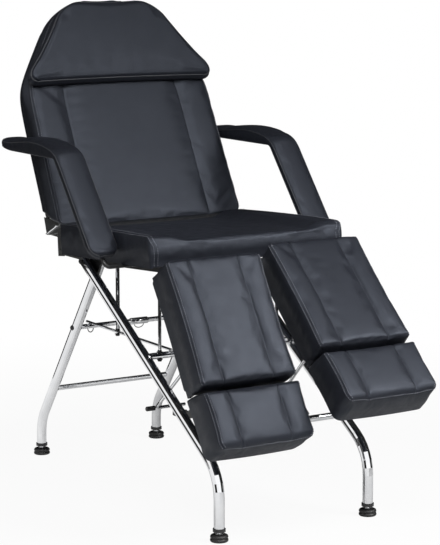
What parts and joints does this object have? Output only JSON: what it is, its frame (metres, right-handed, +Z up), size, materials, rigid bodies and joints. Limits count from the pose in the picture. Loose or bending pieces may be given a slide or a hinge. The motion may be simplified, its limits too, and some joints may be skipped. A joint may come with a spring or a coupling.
{
  "type": "pedicure chair",
  "caption": "Padded pedicure chair on a bent chrome tube stand, with a reclining back, head pillow, curved armrests and leg rests that tilt and lengthen separately.",
  "frame": {"origin": "middle of the outline box at floor level", "axes": "+Z up, -Y the way the sitter faces, +X to the right of a viewer who faces the front of the chair"},
  "size_m": [0.766, 1.31, 1.3251],
  "materials": {
    "black_leather": "fine-grained black faux leather with a soft sheen",
    "chrome": "bright chrome plating on round tube and rod",
    "bright_steel": "zinc-bright stamped plate",
    "black_steel": "black powder coat",
    "black_plastic": "moulded black plastic",
    "black_rubber": "black rubber-faced foot",
    "black_board": "black-covered plywood"
  },
  "bodies": {
    "frame": {"armrest_left": "black_leather", "armrest_right": "black_leather", "armrest_tube_left": "black_steel", "armrest_tube_right": "black_steel", "back_hinge_pin_left": "chrome", "back_hinge_pin_right": "chrome", "front_cap_left": "black_plastic", "front_cap_right": "black_plastic", "front_collar_left": "black_plastic", "front_collar_right": "black_plastic", "front_leg_left": "chrome", "front_leg_right": "chrome", "front_lower_bar": "chrome", "front_strut_frame": "chrome", "front_upper_bar": "chrome", "leg_hinge_rod": "chrome", "prop_rack_left": "black_steel", "prop_rack_right": "black_steel", "rear_collar_left": "black_plastic", "rear_collar_right": "black_plastic", "rear_leg_left": "chrome", "rear_leg_right": "chrome", "rear_lower_bar": "chrome", "rear_strut_frame": "chrome", "rear_upper_bar": "chrome", "seat_board": "black_board", "seat_cushion": "black_leather", "seat_hinge_plate_left": "bright_steel", "seat_hinge_plate_right": "bright_steel", "seat_side_plate_left": "black_steel", "seat_side_plate_right": "black_steel", "spreader_rod_left": "chrome", "spreader_rod_right": "chrome"},
    "backrest": {"back_board": "black_board", "back_cushion": "black_leather", "back_hinge_arm_left": "bright_steel", "back_hinge_arm_right": "bright_steel", "pillow": "black_leather"},
    "leg_rest_left": {"calf_cushion_left": "black_leather", "calf_tray_left": "black_board", "leg_hinge_sleeve_left": "black_steel", "prop_lug_left": "black_steel"},
    "leg_rest_right": {"calf_cushion_right": "black_leather", "calf_tray_right": "black_board", "leg_hinge_sleeve_right": "black_steel", "prop_lug_right": "black_steel"},
    "foot_rest_left": {"foot_cushion_left": "black_leather", "foot_slide_left": "black_board"},
    "foot_rest_right": {"foot_cushion_right": "black_leather", "foot_slide_right": "black_board"},
    "leg_prop_left": {"prop_grip_left": "black_plastic", "prop_left": "chrome"},
    "leg_prop_right": {"prop_grip_right": "black_plastic", "prop_right": "chrome"},
    "level_foot_front_left": {"front_foot_left": "black_rubber"},
    "level_foot_front_right": {"front_foot_right": "black_rubber"},
    "level_foot_rear_left": {"rear_foot_left": "black_rubber"},
    "level_foot_rear_right": {"rear_foot_right": "black_rubber"}
  },
  "joints": [
    {"name": "back_recline", "type": "hinge", "parent": "frame", "child": "backrest", "pos_m": [0, 0.29719, 0.70405], "axis": [-1, 0, 0], "range_deg": [-6, 63]},
    {"name": "left_leg_raise", "type": "hinge", "parent": "frame", "child": "leg_rest_left", "pos_m": [-0.158, -0.22246, 0.66201], "axis": [-1, 0, 0], "range_deg": [0, 56.3]},
    {"name": "right_leg_raise", "type": "hinge", "parent": "frame", "child": "leg_rest_right", "pos_m": [0.158, -0.22246, 0.66201], "axis": [-1, 0, 0], "range_deg": [-15.2, 41.1]},
    {"name": "left_prop_swing", "type": "hinge", "parent": "leg_rest_left", "child": "leg_prop_left", "pos_m": [-0.158, -0.31209, 0.49404], "axis": [-1, 0, 0], "range_deg": [-37.5, 0.5]},
    {"name": "right_prop_swing", "type": "hinge", "parent": "leg_rest_right", "child": "leg_prop_right", "pos_m": [0.158, -0.35299, 0.52342], "axis": [-1, 0, 0], "range_deg": [-27.5, 10.5]},
    {"name": "left_foot_extend", "type": "slide", "parent": "leg_rest_left", "child": "foot_rest_left", "axis": [0, -0.5254, -0.8508], "range_m": [0, 0.12]},
    {"name": "right_foot_extend", "type": "slide", "parent": "leg_rest_right", "child": "foot_rest_right", "axis": [0, -0.7301, -0.6833], "range_m": [0, 0.12]},
    {"name": "front_left_foot_level", "type": "slide", "parent": "frame", "child": "level_foot_front_left", "axis": [0, 0, -1], "range_m": [0, 0.012]},
    {"name": "front_right_foot_level", "type": "slide", "parent": "frame", "child": "level_foot_front_right", "axis": [0, 0, -1], "range_m": [0, 0.012]},
    {"name": "rear_left_foot_level", "type": "slide", "parent": "frame", "child": "level_foot_rear_left", "axis": [0, 0, -1], "range_m": [0, 0.012]},
    {"name": "rear_right_foot_level", "type": "slide", "parent": "frame", "child": "level_foot_rear_right", "axis": [0, 0, -1], "range_m": [0, 0.012]}
  ],
  "couplings": [
    {"joint": "left_prop_swing", "follows": "left_leg_raise", "ratio": -0.65},
    {"joint": "right_prop_swing", "follows": "right_leg_raise", "ratio": -0.65}
  ]
}
